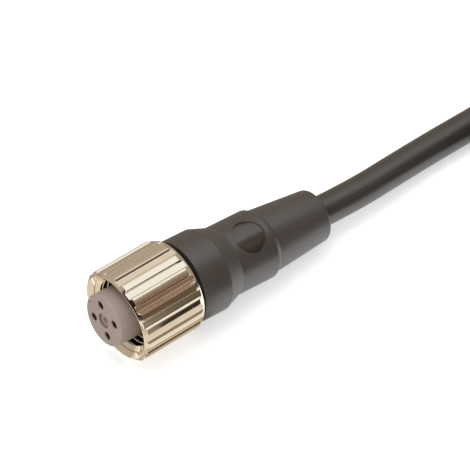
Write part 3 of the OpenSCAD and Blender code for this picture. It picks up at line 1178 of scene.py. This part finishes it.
@dataclass
class Cable:
    """The sheathed cable with its tie and its stripped end."""

    book: FinishBook
    path: CablePath = field(default_factory=CablePath)
    core_r: float = 0.6
    wire_r: float = 0.35
    twist: float = 0.9
    strip: float = 30.0
    tip: float = 6.0
    rest_z: float = 10.04
    offset: float = 0.75
    overlap: float = 0.9
    steps: int = 24
    fan_rate: float = 1.5
    sink_rate: float = 1.2
    side: tuple[int, ...] = (-1, 1, 1, -1)
    up: tuple[int, ...] = (1, 1, -1, -1)
    fan: tuple[float, ...] = (-4.0, 4.0, 1.4, -1.4)

    def end_point(self, core: int, u: float) -> Vector:
        """Returns where a stripped core lies, u from the jacket's end to the tip's end."""
        radius, height = self.path.laps[-1]
        low = self.rest_z + self.core_r
        side, up = self.offset * self.side[core], self.offset * self.up[core]
        return Vector((
            self.path.end_x - self.strip * u,
            self.path.mid_y - radius + side + (self.fan[core] - side) * eased(self.fan_rate * u),
            low + (height + up - low) * (1 - eased(self.sink_rate * u)),
        )) * MM

    def line(self, core: int, first: float, last: float) -> list[Vector]:
        """Returns the centre line of a stretch of a stripped core."""
        shares = [k / self.steps for k in range(self.steps + 1)]
        return [self.end_point(core, first + (last - first) * share) for share in shares]

    def strands(self, line: Sequence[Vector]) -> list[list[Vector]]:
        """Returns the lines of the seven twisted strands of a bare tip, about its centre line."""
        apart = 2 * self.wire_r / 3 * MM
        last = len(line) - 1
        out = [list(line)]
        for k in range(6):
            strand = []
            for i, point in enumerate(line):
                along = (line[min(i + 1, last)] - line[max(i - 1, 0)]).normalized()
                side = along.cross(Vector((0, 0, 1))).normalized()
                turn = math.pi * k / 3 + math.tau * self.twist * i / last
                way = side * math.cos(turn) + side.cross(along) * math.sin(turn)
                strand.append(point + way * apart)
            out.append(strand)
        return out

    def add_cores(self) -> list[Object]:
        """Adds the stripped cores and their bare tips, and returns them."""
        bare = 1 - self.tip / self.strip
        made = []
        for core, colour in enumerate(CoreColour):
            strands = self.strands(self.line(core, bare - self.overlap / self.strip, 1.0))
            for kind, lines, radius, sides, slot in (
                ("core", [self.line(core, 0.0, bare)], self.core_r, 12, f"core_{colour.value}"),
                ("tip", strands, self.wire_r / 3, 10, "tinned_wire"),
            ):
                piece = tube(f"stripped_{kind}_{colour.value}", lines, radius, sides)
                made.append(self.book.declare(piece, [f"end_{kind}_{colour.value}"], slot))
        return made

    def build(self) -> Object:
        """Returns the finished cable, with its cores and tie declared on it."""
        points = self.path.points()
        made = tube("cable", [points], CABLE_R, 16)
        self.book.declare(made, ["cable_lead", "cable_hank"], "cable_black")
        HankTie(self.book, self.path).build()
        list(self.add_cores())
        return made


# ---- the studio ----


def reflector(name: str, rows: Sequence[Sequence[Point]], first: Colour, last: Colour) -> None:
    """Adds a card that is seen only in reflections.

    Args:
        name: The card's name.
        rows: Pairs of points across the card.
        first: What its first row shows.
        last: What its last row shows.
    """
    mesh = skin(name, rows)
    glow = mesh.attributes.new("glow", "FLOAT_COLOR", "POINT")
    for k, value in enumerate(glow.data):
        share = k // 2 / (len(rows) - 1)
        value.color = (*(a + (b - a) * share for a, b in zip(first, last)), 1)
    material = bpy.data.materials.new(name)
    material.use_nodes = True
    nodes, links = material.node_tree.nodes, material.node_tree.links
    light, tone = nodes.new("ShaderNodeEmission"), nodes.new("ShaderNodeAttribute")
    tone.attribute_name = "glow"
    links.new(tone.outputs["Color"], light.inputs["Color"])
    links.new(light.outputs[0], nodes["Material Output"].inputs["Surface"])
    mesh.materials.append(material)
    made = new_object(name, mesh)
    made.visible_camera = made.visible_diffuse = False
    made.visible_shadow = made.visible_transmission = False


FAR = (-400.0, 600.0)
BACK_PATCH = (-60.0, 5.2)
FLOOR_STRIP = (-60.0, 15.0)


@dataclass(frozen=True)
class Card:
    """A reflector card that the nut mirrors between two angles round it.

    It stands on a wide round about the nut, and lies on the floor where the floor would be mirrored.
    """

    name: str
    start: float
    stop: float
    first: Colour
    last: Colour
    stations: Pair = FAR

    SIGHT = 37.7
    SLOPE = 0.453
    REACH = 400.0
    LIFT = 0.4

    def place(self, angle: float, station: float) -> Point:
        """Returns where the card is mirrored at an angle and a station of the nut."""
        turn, out = math.radians(angle), math.radians(2 * angle - self.SIGHT)
        top = NUT_R + NUT_R * math.cos(turn)
        reach = self.REACH
        if math.cos(out) < 0:
            reach = min(reach, (top - self.LIFT) / -math.cos(out))
        return (station + PIVOT_X - PIVOT_STATION + self.SLOPE * reach,
                -NUT_R * math.sin(turn) - reach * math.sin(out), top + reach * math.cos(out))

    def add(self) -> None:
        """Adds the card, with a row about every degree."""
        steps = max(2, round(self.stop - self.start))
        angles = [self.start + (self.stop - self.start) * k / steps for k in range(steps + 1)]
        rows = [[self.place(a, s) for s in self.stations] for a in angles]
        reflector(self.name, rows, self.first, self.last)


@dataclass(frozen=True)
class FlatCard:
    """A flat reflector card, given by two opposite edges."""

    name: str
    low: tuple[Point, Point]
    high: tuple[Point, Point]
    colour: Colour

    def add(self) -> None:
        """Adds the card."""
        reflector(self.name, (self.low, self.high), self.colour, self.colour)


@dataclass(frozen=True)
class Lamp:
    """A soft square lamp that faces the part; its place and size are in metres."""

    name: str
    place: Point
    size: float
    power: float

    def add(self) -> None:
        """Adds the lamp."""
        data = bpy.data.lights.new(self.name, "AREA")
        data.size = self.size
        data.energy = self.power
        lamp = new_object(self.name, data)
        lamp.location = self.place
        lamp.rotation_euler = (-Vector(self.place)).to_track_quat("-Z", "Y").to_euler()
        lamp.visible_glossy = False


@dataclass
class Studio:
    """The camera, the floor, the lamps and the cards."""

    location: Point = (-179.8, -223.61, 299.12)
    view: Point = (0.45059, 0.54623, -0.70612)
    roll: float = -0.13
    lens: float = 210.4
    floor_half: float = 1500.0
    floor_glow: float = 0.45
    world_light: float = 0.62
    lamps: tuple[Lamp, ...] = (
        Lamp("overhead_lamp", (-0.1, 0.1, 0.7), 0.5, 2.0),
        Lamp("front_lamp", (-0.45, -0.35, 0.35), 0.5, 1.0),
    )
    cards: tuple[Card | FlatCard, ...] = (
        Card("rear_card", -60, -26.5, (0.42, 0.36, 0.30), (0.38, 0.32, 0.265)),
        Card("back_card", -26.5, -8, (0.48, 0.41, 0.335), (0.46, 0.39, 0.32)),
        Card("back_top_card", -8, -1.5, (0.47, 0.40, 0.33), (0.60, 0.53, 0.45)),
        Card("cream_card", -1.5, 8, (0.78, 0.71, 0.63), (0.76, 0.69, 0.61)),
        Card("mauve_top_card", 31, 37, (0.33, 0.26, 0.20), (0.24, 0.17, 0.14)),
        Card("mauve_card", 37, 44.8, (0.22, 0.145, 0.118), (0.20, 0.13, 0.102)),
        Card("peach_card", 44.8, 46.6, (0.66, 0.49, 0.39), (0.86, 0.67, 0.53)),
        Card("brown_card", 46.6, 58, (0.125, 0.078, 0.053), (0.15, 0.097, 0.064)),
        Card("umber_card", 58, 68, (0.12, 0.09, 0.07), (0.08, 0.058, 0.04), (5.2, 300.0)),
        Card("black_card", 68, 77.5, (0.022, 0.014, 0.008), (0.045, 0.032, 0.02), (5.2, 60.0)),
        Card("tan_patch", 58, 68, (0.24, 0.20, 0.15), (0.50, 0.41, 0.32), BACK_PATCH),
        Card("tan_floor_patch", 68, 77.5, (0.17, 0.13, 0.09), (0.38, 0.31, 0.23), BACK_PATCH),
        Card("warm_floor_card", 78, 85, (0.58, 0.52, 0.43), (0.84, 0.76, 0.64), FLOOR_STRIP),
        Card("pale_floor_card", 85, 101.5, (0.86, 0.78, 0.68), (0.97, 0.88, 0.80), FLOOR_STRIP),
        # Its darkening end paints the shade under the nut where the floor is mirrored.
        Card("under_card", 101.5, 109, (0.55, 0.45, 0.34), (0.18, 0.13, 0.09), FLOOR_STRIP),
        Card("low_card", 109, 130, (0.52, 0.45, 0.40), (0.48, 0.42, 0.36), FLOOR_STRIP),
        FlatCard("mouth_card", ((-120, -90, 0.4), (-120, 60, 0.4)), ((-19, -90, 0.4), (-19, 60, 0.4)),
                 (0.80, 0.70, 0.58)),
        FlatCard("nose_card", ((-400, -400, 0.5), (-400, 110, 0.5)), ((-400, -400, 290), (-400, 110, 290)),
                 (0.02, 0.012, 0.007)),
        FlatCard("nose_side_card", ((-400, 110, 0.5), (-400, 1500, 0.5)),
                 ((-400, 110, 600), (-400, 1500, 600)), (0.50, 0.43, 0.36)),
        FlatCard("end_card", ((700, -300, 0.5), (700, 700, 0.5)), ((700, -300, 430), (700, 700, 430)),
                 (0.40, 0.34, 0.28)),
    )

    def add_camera(self) -> None:
        """Adds the camera."""
        data = bpy.data.cameras.new("camera")
        data.lens = self.lens
        data.sensor_width = 36.0
        data.clip_start = 0.01
        data.clip_end = 10.0
        camera = new_object("camera", data)
        camera.location = Vector(self.location) * MM
        roll = Matrix.Rotation(math.radians(self.roll), 3, "Z")
        camera.rotation_euler = (Vector(self.view).to_track_quat("-Z", "Y").to_matrix() @ roll).to_euler()
        bpy.context.scene.camera = camera

    def add_world(self) -> None:
        """Lights the world, which is white where it is seen or mirrored."""
        world = bpy.data.worlds.new("studio")
        world.use_nodes = True
        tree = world.node_tree
        rays = tree.nodes.new("ShaderNodeLightPath")
        seen, more = tree.nodes.new("ShaderNodeMath"), tree.nodes.new("ShaderNodeMath")
        level = tree.nodes.new("ShaderNodeMapRange")
        level.inputs["To Min"].default_value = self.world_light
        level.inputs["To Max"].default_value = 1.0
        sky = tree.nodes["Background"]
        sky.inputs["Color"].default_value = (1, 1, 1, 1)
        for start, end in (
            (rays.outputs["Is Camera Ray"], seen.inputs[0]),
            (rays.outputs["Is Glossy Ray"], seen.inputs[1]),
            (seen.outputs[0], more.inputs[0]),
            (rays.outputs["Is Transmission Ray"], more.inputs[1]),
            (more.outputs[0], level.inputs["Value"]),
            (level.outputs[0], sky.inputs["Strength"]),
        ):
            tree.links.new(start, end)
        bpy.context.scene.world = world
        bpy.context.scene.view_settings.view_transform = "Standard"

    def add_floor(self) -> None:
        """Adds the pale floor, which keeps the part's shadow."""
        mesh = bpy.data.meshes.new("floor")
        half = self.floor_half * MM
        corners = [(-half, -half, 0), (half, -half, 0), (half, half, 0), (-half, half, 0)]
        mesh.from_pydata(corners, [], [(0, 1, 2, 3)])
        floor = new_object("floor", mesh)
        sheet = ShaderSheet("floor")
        sheet.set(Base_Color=(0.86, 0.86, 0.86, 1), Roughness=1.0, Specular_IOR_Level=0.0)
        rays = sheet.add("ShaderNodeLightPath")
        seen = sheet.maths("ADD", rays.outputs["Is Camera Ray"], rays.outputs["Is Glossy Ray"])
        sheet.link(sheet.spread(seen, 0.0, self.floor_glow), sheet.shader.inputs["Emission Strength"])
        sheet.set(Emission_Color=(1, 1, 1, 1))
        mesh.materials.append(sheet.material)

    def build(self) -> None:
        """Adds everything."""
        self.add_camera()
        self.add_world()
        self.add_floor()
        for item in (*self.lamps, *self.cards):
            item.add()


def main() -> None:
    """Builds the scene, piece by piece."""
    logging.basicConfig(level=logging.INFO, format="%(name)s: %(message)s")
    Studio().build()
    book = FinishBook()
    Cable(book).build()
    CouplingNut(book).build()
    ContactCarrier(book).build()
    MouldedGrip(book).build()
    for number, colour in enumerate(CoreColour, start=1):
        book.dress_node(f"contact_{number}", "gold_brass")
        book.dress_node(f"head_core_{colour.value}", f"core_{colour.value}")
    book.dress_node("face_seal", "seal_black")


if __name__ == "__main__":
    main()
